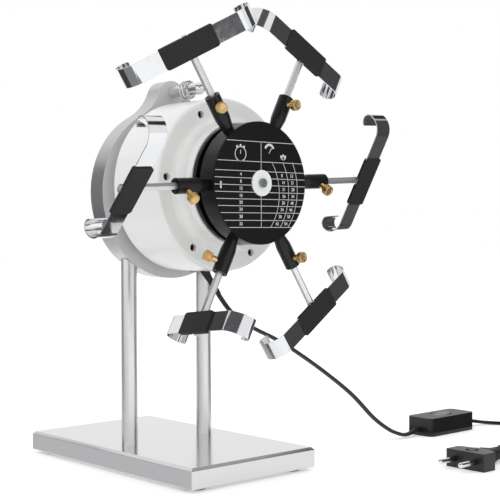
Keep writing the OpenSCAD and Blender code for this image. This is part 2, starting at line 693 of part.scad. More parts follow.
// Rubber grip: a channel over the strip's front, outer edge and back
module grip(i) {
    lip = 1.1;
    back_t = 1;
    inset = 0.2;
    color([0.12, 0.12, 0.12]) holder(i) difference() {
        translate([-strip_w / 2 + inset, -grip_l / 2, strip_back - back_t])
            cube([strip_w - inset + lip, grip_l, back_t + strip_t + grip_t]);
        translate([-strip_w, -grip_l, strip_back]) cube([1.5 * strip_w, 2 * grip_l, strip_t]);
        translate([-strip_w, -ferrule_r, strip_back - 2 * back_t]) cube([2 * strip_w, 2 * ferrule_r, 2 * back_t]);
    }
}
module grip_1() { grip(1); }
module grip_2() { grip(2); }
module grip_3() { grip(3); }
module grip_4() { grip(4); }
module grip_5() { grip(5); }
module grip_6() { grip(6); }

// Frame of the stud: +Z forwards from the plate's front face
module stud_frame() { translate([0, -plate_front, stud_z]) rotate([90, 0, 0]) children(); }
clip_wire = 1.2;
nut_flat = 10.5;
nut_corner = nut_flat / cos(30);
clip_r = nut_corner / 2 + clip_wire / 2 + 0.1;
clip_at = [1.2, 4.6];
clip_leg = 2.2;
module hanger_stud() {
    color([0.7, 0.7, 0.71]) stud_frame() translate([0, 0, -plate_t])
        cylinder(d = stud_d, h = plate_t + spacer_l + nut_bore_l - seat, $fn = 48);
}
module stud_spacer() {
    color([0.8, 0.8, 0.8]) stud_frame() difference() {
        cylinder(d = 8.5, h = spacer_l, $fn = 64);
        translate([0, 0, -1]) cylinder(d = stud_d + 2 * fit, h = spacer_l + 2, $fn = 48);
    }
}
module stud_dome_nut() {
    color([0.75, 0.75, 0.75]) stud_frame() translate([0, 0, spacer_l]) difference() {
        union() {
            cylinder(d = nut_corner, h = nut_hex_l, $fn = 6);
            cylinder(d = nut_d, h = nut_l, $fn = 64);
            translate([0, 0, nut_l]) sphere(d = nut_d, $fn = 64);
        }
        translate([0, 0, -1]) cylinder(d = stud_d + 2 * thread_fit, h = nut_bore_l + 1, $fn = 48);
    }
}
// Clip of round wire: two rings about the nut and a foot below that joins them
module stud_clip() {
    color([0.72, 0.72, 0.72]) stud_frame() translate([0, 0, spacer_l]) union() {
        for (z = clip_at) {
            translate([0, 0, z]) rotate_extrude($fn = 64) translate([clip_r, 0]) circle(d = clip_wire, $fn = 24);
            translate([0, -clip_r - clip_leg, z]) rotate([-90, 0, 0]) cylinder(d = clip_wire, h = clip_leg, $fn = 24);
        }
        translate([0, -clip_r - clip_leg, clip_at[0] - clip_wire])
            cylinder(d = clip_wire * 1.1, h = clip_at[1] - clip_at[0] + 2 * clip_wire, $fn = 24);
    }
}
gland_r = 3.3;
gland_root_l = 6;
// Frame of the gland: +Z out of the housing along the cord's way
module gland_frame() { translate(gland_root) rotate([0, 180 - gland_tilt, 0]) children(); }
module cable_gland() {
    color([0.1, 0.1, 0.1]) gland_frame() union() {
        translate([0, 0, -gland_root_l]) cylinder(r = gland_r, h = gland_root_l + 2, $fn = 48);
        translate([0, 0, 2]) cylinder(r1 = gland_r, r2 = cord_w / 2 + 0.3, h = gland_tail - 2, $fn = 48);
    }
}
module terminal_block() {
    color([0.85, 0.85, 0.82]) head() translate([-11, block_inset - shell_r, flange_front]) difference() {
        cube([22, 12, 14]);
        for (k = [0:2]) translate([4 + 7 * k, 6, 4]) cylinder(d = 4, h = 12, $fn = 32);
    }
}
lead_path = smooth(lead_route, 2);
tail_a_path = smooth(tail_a, 2);
tail_b_path = smooth(tail_b, 2);
module mains_cord() { color([0.1, 0.1, 0.1]) skin(rings(lead_path, 8, [0, -1, 0])); }
module cord_tail() {
    color([0.1, 0.1, 0.1]) {
        skin(rings(tail_a_path, 8));
        skin(rings(tail_b_path, 8));
    }
}
// The coil turns clockwise seen from above: inwards on the floor, up a layer, then outwards.
coil_turns = coil_in + coil_climb + coil_out;
function coil_radius(t) = t < coil_in ? coil_r_out - coil_pitch * t
    : t < coil_in + coil_climb ? coil_r_out - coil_pitch * coil_in
    : coil_r_out - coil_pitch * coil_in + coil_pitch * (t - coil_in - coil_climb);
function coil_height(t) = cord_h / 2 + coil_layer * max(0, min(1, (t - coil_in) / coil_climb));
function coil_point(t) = [coil_x + coil_radius(t) * cos(-360 * t), coil_y + coil_radius(t) * sin(-360 * t),
    coil_height(t)];
coil_rings = 24;
coil_last = round(coil_turns * coil_rings);
coil_path = concat([coil_start],
    [for (k = [0:coil_last]) coil_point(k / coil_rings)], [coil_end]);
coil_skin = rings(coil_path, 6);
module cord_coil() { color([0.1, 0.1, 0.1]) skin(coil_skin); }
// Least gap of the coil to itself, measured on the points of rings half a turn or more apart
function points_gap(a, b) = min([for (p = a) for (q = b) norm(p - q)]);
function coil_gap() = min([for (i = [0:len(coil_path) - 1])
    for (j = [i + coil_rings / 2:1:len(coil_path) - 1])
        if (norm(coil_path[i] - coil_path[j]) < 2.5 * cord_w) points_gap(coil_skin[i], coil_skin[j])]);
echo(coil_gap = coil_gap(), cord_length = span(lead_path) + switch_l
    + span(tail_a_path) + span(coil_path) + span(tail_b_path));

case_edge = 5;
module rounded_slab(l, w, h, r) {
    linear_extrude(h) union() {
        translate([r, 0]) square([l - 2 * r, w]);
        translate([0, r]) square([l, w - 2 * r]);
        for (x = [r, l - r]) for (y = [r, w - r]) translate([x, y]) circle(r = r, $fn = 48);
    }
}
rocker_l = 20;
rocker_w = 12.6;
rocker_gap = 0.7;
rocker_tilt = 6;
pivot_d = 3;
pivot_z = switch_h - 4.4;
ear_t = 2;
ear_y = rocker_w / 2 + rocker_gap;
case_wall = 3;
case_floor = 2;
case_roof = 1.5;
module switch_frame() { translate([switch_x, switch_y - switch_w / 2, 0]) children(); }
module case_hollow(h) {
    translate([case_wall, case_wall, 0])
        rounded_slab(switch_l - 2 * case_wall, switch_w - 2 * case_wall, h, case_edge - case_wall + 1);
}
// Lower shell, with two ears that carry the rocker's pivot
module switch_case_lower() {
    color([0.12, 0.12, 0.12]) switch_frame() {
        difference() {
            rounded_slab(switch_l, switch_w, split_z, case_edge);
            translate([0, 0, case_floor]) case_hollow(split_z);
        }
        difference() {
            for (s = [-1, 1]) translate([switch_l / 2 - 3, switch_w / 2 + s * (ear_y + ear_t / 2) - ear_t / 2,
                case_floor - 0.5]) cube([6, ear_t, pivot_z + 2.4 - case_floor]);
            translate([switch_l / 2, 0, pivot_z]) rotate([-90, 0, 0])
                cylinder(d = pivot_d + 2 * fit, h = switch_w, $fn = 32);
        }
    }
}
module oval_hole(l, w, h) {
    linear_extrude(h) union() {
        translate([-(l - w) / 2, -w / 2]) square([l - w, w]);
        for (s = [-1, 1]) translate([s * (l - w) / 2, 0]) circle(d = w, $fn = 48);
    }
}
module switch_case_upper() {
    color([0.12, 0.12, 0.12]) switch_frame() difference() {
        translate([0, 0, split_z]) rounded_slab(switch_l, switch_w, switch_h - split_z, case_edge);
        translate([0, 0, split_z - 1]) case_hollow(switch_h - split_z + 1 - case_roof);
        translate([switch_l / 2, switch_w / 2, split_z])
            oval_hole(rocker_l + 2 * rocker_gap, rocker_w + 2 * rocker_gap, switch_h);
    }
}
// Rocker on a pivot that turns in the two ears of the lower shell
module switch_rocker() {
    pivot_l = 2 * (ear_y + ear_t - 0.2);
    color([0.06, 0.06, 0.06]) switch_frame() translate([switch_l / 2, switch_w / 2, pivot_z])
        rotate([0, -rocker_tilt, 0]) union() {
            translate([0, 0, -2]) oval_hole(rocker_l, rocker_w, switch_h - pivot_z + 2);
            rotate([90, 0, 0]) translate([0, 0, -pivot_l / 2]) cylinder(d = pivot_d, h = pivot_l, $fn = 32);
        }
}
// Frame of the plug: +X from the cord towards the pins, seen from above
module plug_frame() { translate([plug_x, plug_y, plug_t / 2]) rotate([0, 0, 180]) children(); }
plug_l = 50;
pin_gap = 19;
module plug_outline() {
    polygon([[0, -4], [12, -4.4], [30, -8], [36, -plug_w / 2], [plug_l, -plug_w / 2],
        [plug_l, plug_w / 2], [36, plug_w / 2], [30, 8], [12, 4.4], [0, 4]]);
}
module plug_body() {
    color([0.12, 0.12, 0.12]) plug_frame() difference() {
        union() {
            intersection() {
                translate([0, 0, -plug_t / 2]) linear_extrude(plug_t) plug_outline();
                rotate([90, 0, 0]) translate([0, 0, -plug_w]) linear_extrude(2 * plug_w)
                    polygon([[0, -4], [14, -4], [34, -plug_t / 2], [plug_l, -plug_t / 2],
                        [plug_l, plug_t / 2], [34, plug_t / 2], [14, 4], [0, 4]]);
            }
            translate([1, 0, 0]) rotate([0, 90, 0]) cylinder(r = 5.2, h = 2, $fn = 48);
        }
        for (s = [-1, 1]) translate([plug_l - 12, s * pin_gap / 2, 0]) rotate([0, 90, 0])
            cylinder(d = 4 + 2 * fit, h = 13, $fn = 48);
        translate([plug_l - 9, 0, plug_t / 2 - 1]) tube(5, 3.2, 3, $fn = 48);
    }
}
module plug_pins() {
    color([0.8, 0.8, 0.8]) plug_frame() for (s = [-1, 1]) translate([plug_l - 12 + seat, s * pin_gap / 2, 0])
        rotate([0, 90, 0]) union() {
            cylinder(d = 4, h = 29, $fn = 48);
            translate([0, 0, 29]) sphere(d = 4, $fn = 32);
        }
}

base_plate();
rubber_feet();
post_left();
post_right();
frame_screws();
frame_plate();
mounting_flange();
housing_shell();
shell_side_screws();
shell_front_screws();
bearing_carrier();
shaft_bush();
bearing_cap();
cap_screws();
gear_motor();
motor_screws();
drive_shaft();
rotor_drum();
dial_plate();
hub_washer();
hub_screw();
arm_sleeves();
hanger_stud();
stud_spacer();
stud_clip();
stud_dome_nut();
cable_gland();
terminal_block();
mains_cord();
cord_tail();
cord_coil();
switch_case_lower();
switch_case_upper();
switch_rocker();
plug_body();
plug_pins();
rod_1();
rod_2();
rod_3();
rod_4();
rod_5();
rod_6();
strip_1();
strip_2();
strip_3();
strip_4();
strip_5();
strip_6();
grip_1();
grip_2();
grip_3();
grip_4();
grip_5();
grip_6();
clamp_screw_1();
clamp_screw_2();
clamp_screw_3();
clamp_screw_4();
clamp_screw_5();
clamp_screw_6();
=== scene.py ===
"""Watch winder: the looks of the stand, the white housing, the black rotor, its six sprung
holders and the mains lead. Sizes are written in millimetres and turned to metres by mm()."""

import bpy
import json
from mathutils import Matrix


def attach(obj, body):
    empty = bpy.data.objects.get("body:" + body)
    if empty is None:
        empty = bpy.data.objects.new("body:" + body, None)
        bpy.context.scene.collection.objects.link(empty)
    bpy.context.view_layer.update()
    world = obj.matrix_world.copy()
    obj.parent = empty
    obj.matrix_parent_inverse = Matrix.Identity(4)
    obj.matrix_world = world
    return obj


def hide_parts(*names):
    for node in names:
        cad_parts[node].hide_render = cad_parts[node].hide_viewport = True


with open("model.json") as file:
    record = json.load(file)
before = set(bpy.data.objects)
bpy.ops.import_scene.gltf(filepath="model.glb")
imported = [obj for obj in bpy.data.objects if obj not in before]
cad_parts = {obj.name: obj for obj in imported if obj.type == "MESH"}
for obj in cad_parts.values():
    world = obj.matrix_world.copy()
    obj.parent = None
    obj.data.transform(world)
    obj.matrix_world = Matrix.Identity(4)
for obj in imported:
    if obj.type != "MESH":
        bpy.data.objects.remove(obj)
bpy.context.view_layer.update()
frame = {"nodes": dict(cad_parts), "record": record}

import json
from math import atan2, cos, degrees, hypot, pi, radians, sin, sqrt

import bmesh
import bpy
from mathutils import Matrix, Vector

ZERO = Vector((0, 0, 0))
X, Y, Z = Vector((1, 0, 0)), Vector((0, 1, 0)), Vector((0, 0, 1))


def mm(*values):
    """Millimetres to metres: one number, or the point that several make."""
    return values[0] / 1000 if len(values) == 1 else Vector(values) / 1000


# Sizes shared with the part, in millimetres
AXIS_Z = 215.8
DIAL_FRONT = 110.4
ARM_STATION = 102.3
SHELL_R = 64.5
DRUM_R = 44.2
ARMS = 6
ARM_TURN = 2.9
REACH = [114.7, 110.4, 109.6, 109.8, 111, 113.3]
TWIST = [32, 3, -32.5, -45, 103, -3.7]
CLAMP_DIR = [-32, 0, 27, 42, -104, 2]
CLAMP_AT = 64.5
CLAMP_HEAD = (10.6, 15.6, 4.0)
STRIP_W, STRIP_T, STRIP_HALF = 14.4, 0.8, 39
BEND_R, BEND_TURN, TAIL_L = 12.4, 90, 0.2
CURL_R, CURL_TURN = 5.3, 152
STRIP_MID = 2.5
FERRULE_R, FERRULE_CUT, FERRULE_L, SPIGOT_R = 3, 2.1, 15, 1.55
CORD_W, CORD_H = 5.2, 3.2

# Millimetres in which two points count as one, and a point counts as lying on a plane
WELD, TOUCH = 1e-4, 1e-3
# Degrees below which two faces of a CAD node count as one flat face
FLAT_ANGLE = 0.3

# The photograph's camera
LENS, SENSOR = 82.24, 36
NEAR, FAR = 0.05, 20
CAMERA_AT = mm(-553.50, -714.91, 180.75)
CAMERA_RIGHT = Vector((0.74420, -0.66795, -0.00350))
CAMERA_UP = Vector((0.01312, 0.00938, 0.99987))
CAMERA_BACK = Vector((-0.66783, -0.74415, 0.01574))

camera = bpy.data.objects.new("camera", bpy.data.cameras.new("camera"))
camera.data.lens = LENS
camera.data.sensor_width = SENSOR
camera.data.clip_start, camera.data.clip_end = NEAR, FAR
axes = Matrix((CAMERA_RIGHT, CAMERA_UP, CAMERA_BACK)).transposed()
camera.matrix_world = Matrix.Translation(CAMERA_AT) @ axes.to_4x4()
bpy.context.scene.collection.objects.link(camera)
bpy.context.scene.camera = camera
bpy.context.scene.view_settings.view_transform = "Standard"


# Materials

# The part of a noise value's range in which nearly all of it lies
NOISE_LOW, NOISE_HIGH = 0.3, 0.7


def colour(code):
    """An sRGB hex colour such as "#c8c9cb" as linear RGBA."""
    values = [int(code[i:i + 2], 16) / 255 for i in (1, 3, 5)]
    return [v / 12.92 if v <= 0.04045 else ((v + 0.055) / 1.055) ** 2.4 for v in values] + [1]


def add(tree, kind, links=None, settings=None, **values):
    """Adds a node, sets its sockets from values and settings, and joins its inputs to other sockets."""
    new = tree.nodes.new("ShaderNode" + kind)
    for name, value in (settings or {}).items():
        setattr(new, name, value)
    for name, value in values.items():
        new.inputs[name.replace("_", " ")].default_value = value
    for name, socket in (links or {}).items():
        tree.links.new(socket, new.inputs[name])
    return new


def material(name, base, rough, metallic=0.0, **values):
    """A new material and its tree, its shader and its object coordinates."""
    made = bpy.data.materials.new(name)
    made.use_nodes = True
    tree = made.node_tree
    shader = tree.nodes["Principled BSDF"]
    shader.inputs["Base Color"].default_value = colour(base)
    shader.inputs["Roughness"].default_value = rough
    shader.inputs["Metallic"].default_value = metallic
    for key, value in values.items():
        shader.inputs[key.replace("_", " ")].default_value = value
    place = add(tree, "TexCoord").outputs["Object"]
    return made, tree, shader, place


def grain(tree, place, per_metre, stretch=(1, 1, 1), detail=3.0):
    """Noise with a given number of grains in a metre, stretched along chosen axes."""
    mapped = add(tree, "Mapping", {"Vector": place}, Scale=stretch).outputs["Vector"]
    return add(tree, "TexNoise", {"Vector": mapped}, Scale=per_metre, Detail=detail).outputs["Fac"]


def spread(tree, value, low, high):
    """Turns a noise value into a number between low and high."""
    made = add(tree, "MapRange", {"Value": value}, From_Min=NOISE_LOW, From_Max=NOISE_HIGH,
               To_Min=low, To_Max=high)
    return made.outputs["Result"]


def tint(tree, value, dark, light):
    """Mixes two colours by a noise value."""
    ramp = add(tree, "ValToRGB", {"Fac": value})
    for stop, position, code in zip(ramp.color_ramp.elements, (NOISE_LOW, NOISE_HIGH), (dark, light)):
        stop.position, stop.color = position, colour(code)
    return ramp.outputs["Color"]


def bump(tree, shader, height, depth_mm, strength=1.0):
    """Raises the surface by a height value times a real depth."""
    made = add(tree, "Bump", {"Height": height}, Strength=strength, Distance=mm(depth_mm))
    tree.links.new(made.outputs["Normal"], shader.inputs["Normal"])


def satin_aluminium():
    """Satin anodised aluminium plate: it mirrors the posts softly and has a barely seen grain along Y."""
    made, tree, shader, place = material("satin_aluminium", "#dadadb", 0.15, 1.0)
    streaks = grain(tree, place, 1100, (1, 0.03, 1))
    tree.links.new(spread(tree, streaks, 0.12, 0.19), shader.inputs["Roughness"])
    tree.links.new(tint(tree, streaks, "#d3d3d4", "#d8d8d9"), shader.inputs["Base Color"])
    return made


def turned_aluminium():
    """Drawn aluminium rod, polished: narrow bright bands and faint lines along Z."""
    made, tree, shader, place = material("turned_aluminium", "#e6e6e7", 0.36, 1.0)
    lines = grain(tree, place, 1400, (1, 1, 0.02))
    tree.links.new(spread(tree, lines, 0.32, 0.42), shader.inputs["Roughness"])
    bump(tree, shader, lines, 0.002)
    return made


def blasted_aluminium():
    """Bead-blasted, anodised aluminium: an even, soft pale grey that scatters light, with a fine grit."""
    made, tree, shader, place = material("blasted_aluminium", "#dcdcdd", 0.5, 0.2)
    grit = grain(tree, place, 2500)
    tree.links.new(spread(tree, grit, 0.42, 0.56), shader.inputs["Roughness"])
    bump(tree, shader, grit, 0.01)
    return made


def milled_aluminium():
    """Rim left by the milling cutter: grey satin metal with faint lines across the plate's thickness."""
    made, tree, shader, place = material("milled_aluminium", "#c9c9cb", 0.34, 1.0)
    lines = grain(tree, place, 2400, (1, 0.1, 1))
    tree.links.new(spread(tree, lines, 0.3, 0.38), shader.inputs["Roughness"])
    tree.links.new(tint(tree, lines, "#c5c5c7", "#cdcdcf"), shader.inputs["Base Color"])
    return made


def white_lacquer():
    """Sprayed white lacquer on a turned shell: soft gloss with a faint orange peel."""
    made, tree, shader, place = material("white_lacquer", "#f2f2f1", 0.3,
                                         Coat_Weight=0.3, Coat_Roughness=0.15)
    peel = grain(tree, place, 420, detail=1)
    bump(tree, shader, peel, 0.01, 0.5)
    return made


def black_anodise():
    """Black anodised aluminium: near black with a satin sheen."""
    made, tree, shader, place = material("black_anodise", "#101012", 0.3, Specular_IOR_Level=0.36)
    grit = grain(tree, place, 1800)
    tree.links.new(spread(tree, grit, 0.25, 0.37), shader.inputs["Roughness"])
    bump(tree, shader, grit, 0.006)
    return made


def dial_black():
    """Black printed face: smooth with a low sheen."""
    made, tree, shader, place = material("dial_black", "#0a0a0b", 0.5, Specular_IOR_Level=0.22)
    tree.links.new(spread(tree, grain(tree, place, 700), 0.45, 0.56), shader.inputs["Roughness"])
    return made


def dial_ink():
    """White screen-printed ink, slightly uneven in its cover."""
    made, tree, shader, place = material("dial_ink", "#d8d8d8", 0.5)
    tree.links.new(tint(tree, grain(tree, place, 900), "#cacaca", "#e6e6e6"), shader.inputs["Base Color"])
    return made


def spring_steel():
    """Bright rolled spring steel: mirror-like with fine rolling lines along the strip."""
    made, tree, shader, place = material("spring_steel", "#e0e1e3", 0.08, 1.0)
    lines = grain(tree, place, 260, detail=4)
    tree.links.new(spread(tree, lines, 0.05, 0.12), shader.inputs["Roughness"])
    return made


def bright_steel():
    """Polished steel of the studs, nuts and pins."""
    made, tree, shader, place = material("bright_steel", "#e4e5e6", 0.16, 1.0)
    tree.links.new(spread(tree, grain(tree, place, 800), 0.14, 0.24), shader.inputs["Roughness"])
    return made


def ground_steel():
    """Steel of the hexagonal rods, ground dull: light grey, its faces only softly mirror-like."""
    made, tree, shader, place = material("ground_steel", "#e2e3e5", 0.4, 1.0)
    tree.links.new(spread(tree, grain(tree, place, 900), 0.36, 0.46), shader.inputs["Roughness"])
    return made


def screw_steel():
    """Zinc-plated steel of the small screws and the motor's can."""
    made, tree, shader, place = material("screw_steel", "#a3a4a6", 0.3, 1.0)
    tree.links.new(spread(tree, grain(tree, place, 1200), 0.24, 0.4), shader.inputs["Roughness"])
    return made


def dark_screw():
    """Browned steel of the screws sunk in the housing's front."""
    made, tree, shader, place = material("dark_screw", "#241512", 0.55, 0.2, Specular_IOR_Level=0.2)
    tree.links.new(spread(tree, grain(tree, place, 1200), 0.5, 0.65), shader.inputs["Roughness"])
    return made


def brass():
    """Turned brass, lightly polished: warm with small darker spots."""
    made, tree, shader, place = material("brass", "#e6c489", 0.32, 1.0)
    spots = grain(tree, place, 500)
    tree.links.new(tint(tree, spots, "#d8b272", "#eed09a"), shader.inputs["Base Color"])
    tree.links.new(spread(tree, spots, 0.28, 0.4), shader.inputs["Roughness"])
    return made


def bronze():
    """Sintered bronze of the shaft's bush: dull and open-grained."""
    made, tree, shader, place = material("bronze", "#a67c4a", 0.5, 1.0)
    bump(tree, shader, grain(tree, place, 2200), 0.02)
    return made


def rubber():
    """Moulded black rubber: matt, with a fine uneven skin."""
    made, tree, shader, place = material("rubber", "#1c1c1d", 0.72)
    skin = grain(tree, place, 1100)
    tree.links.new(spread(tree, skin, 0.64, 0.8), shader.inputs["Roughness"])
    bump(tree, shader, skin, 0.02)
    return made


def black_plastic():
    """Moulded black ABS with a fine spark-eroded texture."""
    made, tree, shader, place = material("black_plastic", "#18181a", 0.42)
    bump(tree, shader, grain(tree, place, 1600), 0.02)
    return made


def gloss_plastic():
    """Polished black ABS of the switch's rocker, darker and glossier than its case."""
    made, tree, shader, place = material("gloss_plastic", "#0a0a0b", 0.18)
    tree.links.new(spread(tree, grain(tree, place, 900), 0.14, 0.24), shader.inputs["Roughness"])
    return made


def cord_pvc():
    """Soft black PVC sheath of the lead."""
    made, tree, shader, place = material("cord_pvc", "#161617", 0.5)
    bump(tree, shader, grain(tree, place, 500), 0.02)
    return made


def white_nylon():
    """White nylon of the hub's washer and the terminal block."""
    made, tree, shader, place = material("white_nylon", "#f1f1ef", 0.4, Subsurface_Weight=0.05)
    bump(tree, shader, grain(tree, place, 900), 0.006)
    return made


SATIN = satin_aluminium()
TURNED = turned_aluminium()
BLASTED = blasted_aluminium()
MILLED = milled_aluminium()
LACQUER = white_lacquer()
ANODISE = black_anodise()
DIAL = dial_black()
INK = dial_ink()
SPRING = spring_steel()
BRIGHT = bright_steel()
GROUND = ground_steel()
SCREW = screw_steel()
DARK_SCREW = dark_screw()
BRASS = brass()
BRONZE = bronze()
RUBBER = rubber()
PLASTIC = black_plastic()
GLOSS = gloss_plastic()
PVC = cord_pvc()
NYLON = white_nylon()


# Making pieces


def finish_piece(bm, name, look, body, stands_for=(), sharp=35, weighted=False):
    """Turns a bmesh in metres into an object that rides on a body."""
    mesh = bpy.data.meshes.new(name)
    for face in bm.faces:
        face.smooth = True
    for edge in bm.edges:
        edge.smooth = not (edge.is_manifold and edge.calc_face_angle(0) > radians(sharp))
    bm.to_mesh(mesh)
    bm.free()
    made = bpy.data.objects.new(name, mesh)
    bpy.context.scene.collection.objects.link(made)
    made.data.materials.append(look)
    if weighted:
        modifier = made.modifiers.new("flat faces", "WEIGHTED_NORMAL")
        modifier.keep_sharp = True
    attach(made, body)
    if stands_for:
        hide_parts(*stands_for)
    return made


BODY_OF = {node: body for body, nodes in frame["record"]["behaviour"]["bodies"].items() for node in nodes}


def sharp_edges(bm, angle=30):
    """Edges at which two faces meet at more than an angle in degrees."""
    return [e for e in bm.edges if e.is_manifold and e.calc_face_angle(0) > radians(angle)]


def ease(bm, edges, radius, steps=2):
    """Rounds edges by a radius in the bmesh's own unit."""
    bmesh.ops.bevel(bm, geom=edges, offset=radius, offset_type="OFFSET", segments=steps, profile=0.5,
                    affect="EDGES", clamp_overlap=True, material=-1)


def eased(node, look, edge=0.3, steps=2):
    """A copy of a CAD node whose sharp edges are eased by a small round, in millimetres."""
    bm = bmesh.new()
    bm.from_mesh(frame["nodes"][node].data)
    bmesh.ops.remove_doubles(bm, verts=bm.verts, dist=mm(TOUCH))
    bmesh.ops.dissolve_limit(bm, angle_limit=radians(FLAT_ANGLE), verts=bm.verts, edges=bm.edges)
    ease(bm, sharp_edges(bm), mm(edge), steps)
    return finish_piece(bm, "eased_" + node, look, BODY_OF[node], [node], weighted=True)


def as_made(node, look):
    """Gives a CAD node its finish and leaves its shape alone."""
    target = frame["nodes"][node]
    target.data.materials.clear()
    target.data.materials.append(look)


# Cords

# How much lower the sheath is at its sides than an even oval
CORD_CROWN = 0.1
ROUTE_STEPS, COIL_STEPS = 6, 48


def smooth_route(points, steps=ROUTE_STEPS):
    """A smooth curve through the route's points, with so many steps between two of them."""
    route = [Vector(p) for p in points]
    line = []
    for i in range(len(route) - 1):
        a, b = route[max(i - 1, 0)], route[i]
        c, d = route[i + 1], route[min(i + 2, len(route) - 1)]
        for k in range(steps):
            t = k / steps
            line.append(0.5 * (2 * b + (c - a) * t + (2 * a - 5 * b + 4 * c - d) * t * t
                               + (3 * b - a - 3 * c + d) * t ** 3))
    return line + [route[-1]]


def flat_cord(line, side=None, sides=20):
    """A flat two-core lead along a line in metres: its broad side lies level, or along a given way."""
    bm = bmesh.new()
    rings = []
    for i, point in enumerate(line):
        along = (line[min(i + 1, len(line) - 1)] - line[max(i - 1, 0)]).normalized()
        broad = (side - side.dot(along) * along).normalized() if side else Z.cross(along).normalized()
        high = along.cross(broad)
        ring = bmesh.ops.create_circle(bm, segments=sides, radius=1)["verts"]
        for vert in ring:
            x, y = vert.co.x, vert.co.y * (1 - CORD_CROWN * vert.co.x ** 2)
            vert.co = point + broad * x * mm(CORD_W / 2) + high * y * mm(CORD_H / 2)
        rings.append(ring)
    for before, after in zip(rings, rings[1:]):
        for k in range(sides):
            bm.faces.new((before[k], before[(k + 1) % sides], after[(k + 1) % sides], after[k]))
    bm.faces.new(rings[0])
    bm.faces.new(rings[-1])
    bmesh.ops.recalc_face_normals(bm, faces=bm.faces)
    return bm


GLAND_TILT = radians(37)
GLAND_TAIL = 22
GLAND_ROOT = Vector((0, -46.5, AXIS_Z - SHELL_R))
GLAND_WAY = Vector((sin(GLAND_TILT), 0, -cos(GLAND_TILT)))
GLAND_END = GLAND_ROOT + GLAND_WAY * GLAND_TAIL
SWITCH_X, SWITCH_Y, SWITCH_L, SPLIT_Z = 232, -63, 62, 5.6
PLUG_X, PLUG_Y, PLUG_T, PLUG_L = 195, -180, 13.7, 50
COIL_X, COIL_Y, COIL_R, COIL_PITCH, COIL_LAYER = 300, -150, 37.4, 6, 3.8
COIL_IN, COIL_CLIMB, COIL_OUT = 2.5, 0.5, 2.25
END_R = COIL_R - COIL_PITCH * (COIL_IN - COIL_OUT)
COIL_START = Vector((COIL_X + COIL_R, COIL_Y + CORD_W, CORD_H / 2))
COIL_END = Vector((COIL_X - CORD_W, COIL_Y - END_R, CORD_H / 2 + COIL_LAYER))

LEAD_ROUTE = [GLAND_END, GLAND_END + GLAND_WAY * CORD_W, (27, -44.5, 119.8), (38.5, -43, 112.6),
              (54, -42.5, 104.2), (76.5, -42.5, 94.6), (96, -43.5, 84.4), (127, -46, 65.3),
              (157.5, -50.5, 43), (180.5, -55, 20.8), (194.5, -59.5, 9.8), (205, -61.8, 4.8),
              (213.5, -62.8, 2.8), (222, -63, 3.8), (SWITCH_X - CORD_W, SWITCH_Y, SPLIT_Z),
              (SWITCH_X, SWITCH_Y, SPLIT_Z)]
TAIL_A = [(SWITCH_X + SWITCH_L, SWITCH_Y, SPLIT_Z), (SWITCH_X + SWITCH_L + CORD_W, SWITCH_Y, SPLIT_Z),
          (308, -64, 4.4), (318, -68, 2.6), (326, -75, 1.8), (332, -84, 1.6), (336, -96, 1.6),
          (COIL_X + COIL_R, -112, 1.6), (COIL_X + COIL_R, -132, 1.6),
          COIL_START + Vector((0, CORD_W, 0)), COIL_START]
TAIL_B = [COIL_END, COIL_END - Vector((CORD_W, 0, 0)), (280, -187.6, 5), (270, -188.4, 3), (258, -188, 1.6),
          (240, -185.4, 1.6), (226, -182.6, 3), (213, -180.6, 5.4), (PLUG_X + CORD_W, PLUG_Y, PLUG_T / 2),
          (PLUG_X, PLUG_Y, PLUG_T / 2)]


def coil_point(t):
    """A point t turns along the coil: inwards on the floor, up a layer, then outwards."""
    if t < COIL_IN:
        radius = COIL_R - COIL_PITCH * t
    else:
        radius = COIL_R - COIL_PITCH * COIL_IN + COIL_PITCH * max(0, t - COIL_IN - COIL_CLIMB)
    height = CORD_H / 2 + COIL_LAYER * max(0, min(1, (t - COIL_IN) / COIL_CLIMB))
    return Vector((COIL_X + radius * cos(-2 * pi * t), COIL_Y + radius * sin(-2 * pi * t), height))


COIL_TURNS = COIL_IN + COIL_CLIMB + COIL_OUT
coil_line = [coil_point(k / COIL_STEPS) for k in range(round(COIL_STEPS * COIL_TURNS) + 1)]
lead_line = [p / 1000 for p in smooth_route(LEAD_ROUTE)]
tail_line = [p / 1000 for p in smooth_route(TAIL_A) + coil_line + smooth_route(TAIL_B)]


lead = finish_piece(flat_cord(lead_line, side=-Y), "lead", PVC, "stand", ["mains_cord"])
tail = finish_piece(flat_cord(tail_line), "tail", PVC, "stand", ["cord_tail", "cord_coil"])


# Frames of the moving pieces, in millimetres

HEAD = Matrix.Translation((0, 0, AXIS_Z)) @ Matrix.Rotation(radians(90), 4, "X")


def arm_frame(i):
    """Frame of arm i: +X outwards along the rod, +Z forwards."""
    turn = Matrix.Rotation(radians(ARM_TURN + 360 / ARMS * (i - 1)), 4, "Z")
    return HEAD @ turn @ Matrix.Translation((0, 0, ARM_STATION))


def holder_frame(i):
    """Frame of holder i: +X along the rod, +Y along the strip, +Z to the strip's front."""
    twist = Matrix.Rotation(radians(TWIST[i - 1]), 4, "X")
    return arm_frame(i) @ Matrix.Translation((REACH[i - 1], 0, 0)) @ twist


def clamp_frame(i):
    """Frame of clamp screw i: +Z outwards along the screw."""
    lean = Matrix.Rotation(radians(-CLAMP_DIR[i - 1]), 4, "X")
    return arm_frame(i) @ Matrix.Translation((CLAMP_AT, 0, 0)) @ lean


def place(bm, frame_of_piece):
    """Takes a bmesh from millimetres in its own frame to metres in the part's frame."""
    bmesh.ops.transform(bm, matrix=Matrix.Scale(0.001, 4) @ frame_of_piece, verts=bm.verts)


def moved(parts, kind):
    """The elements of one kind in what an operator returned."""
    return [part for part in parts if isinstance(part, kind)]


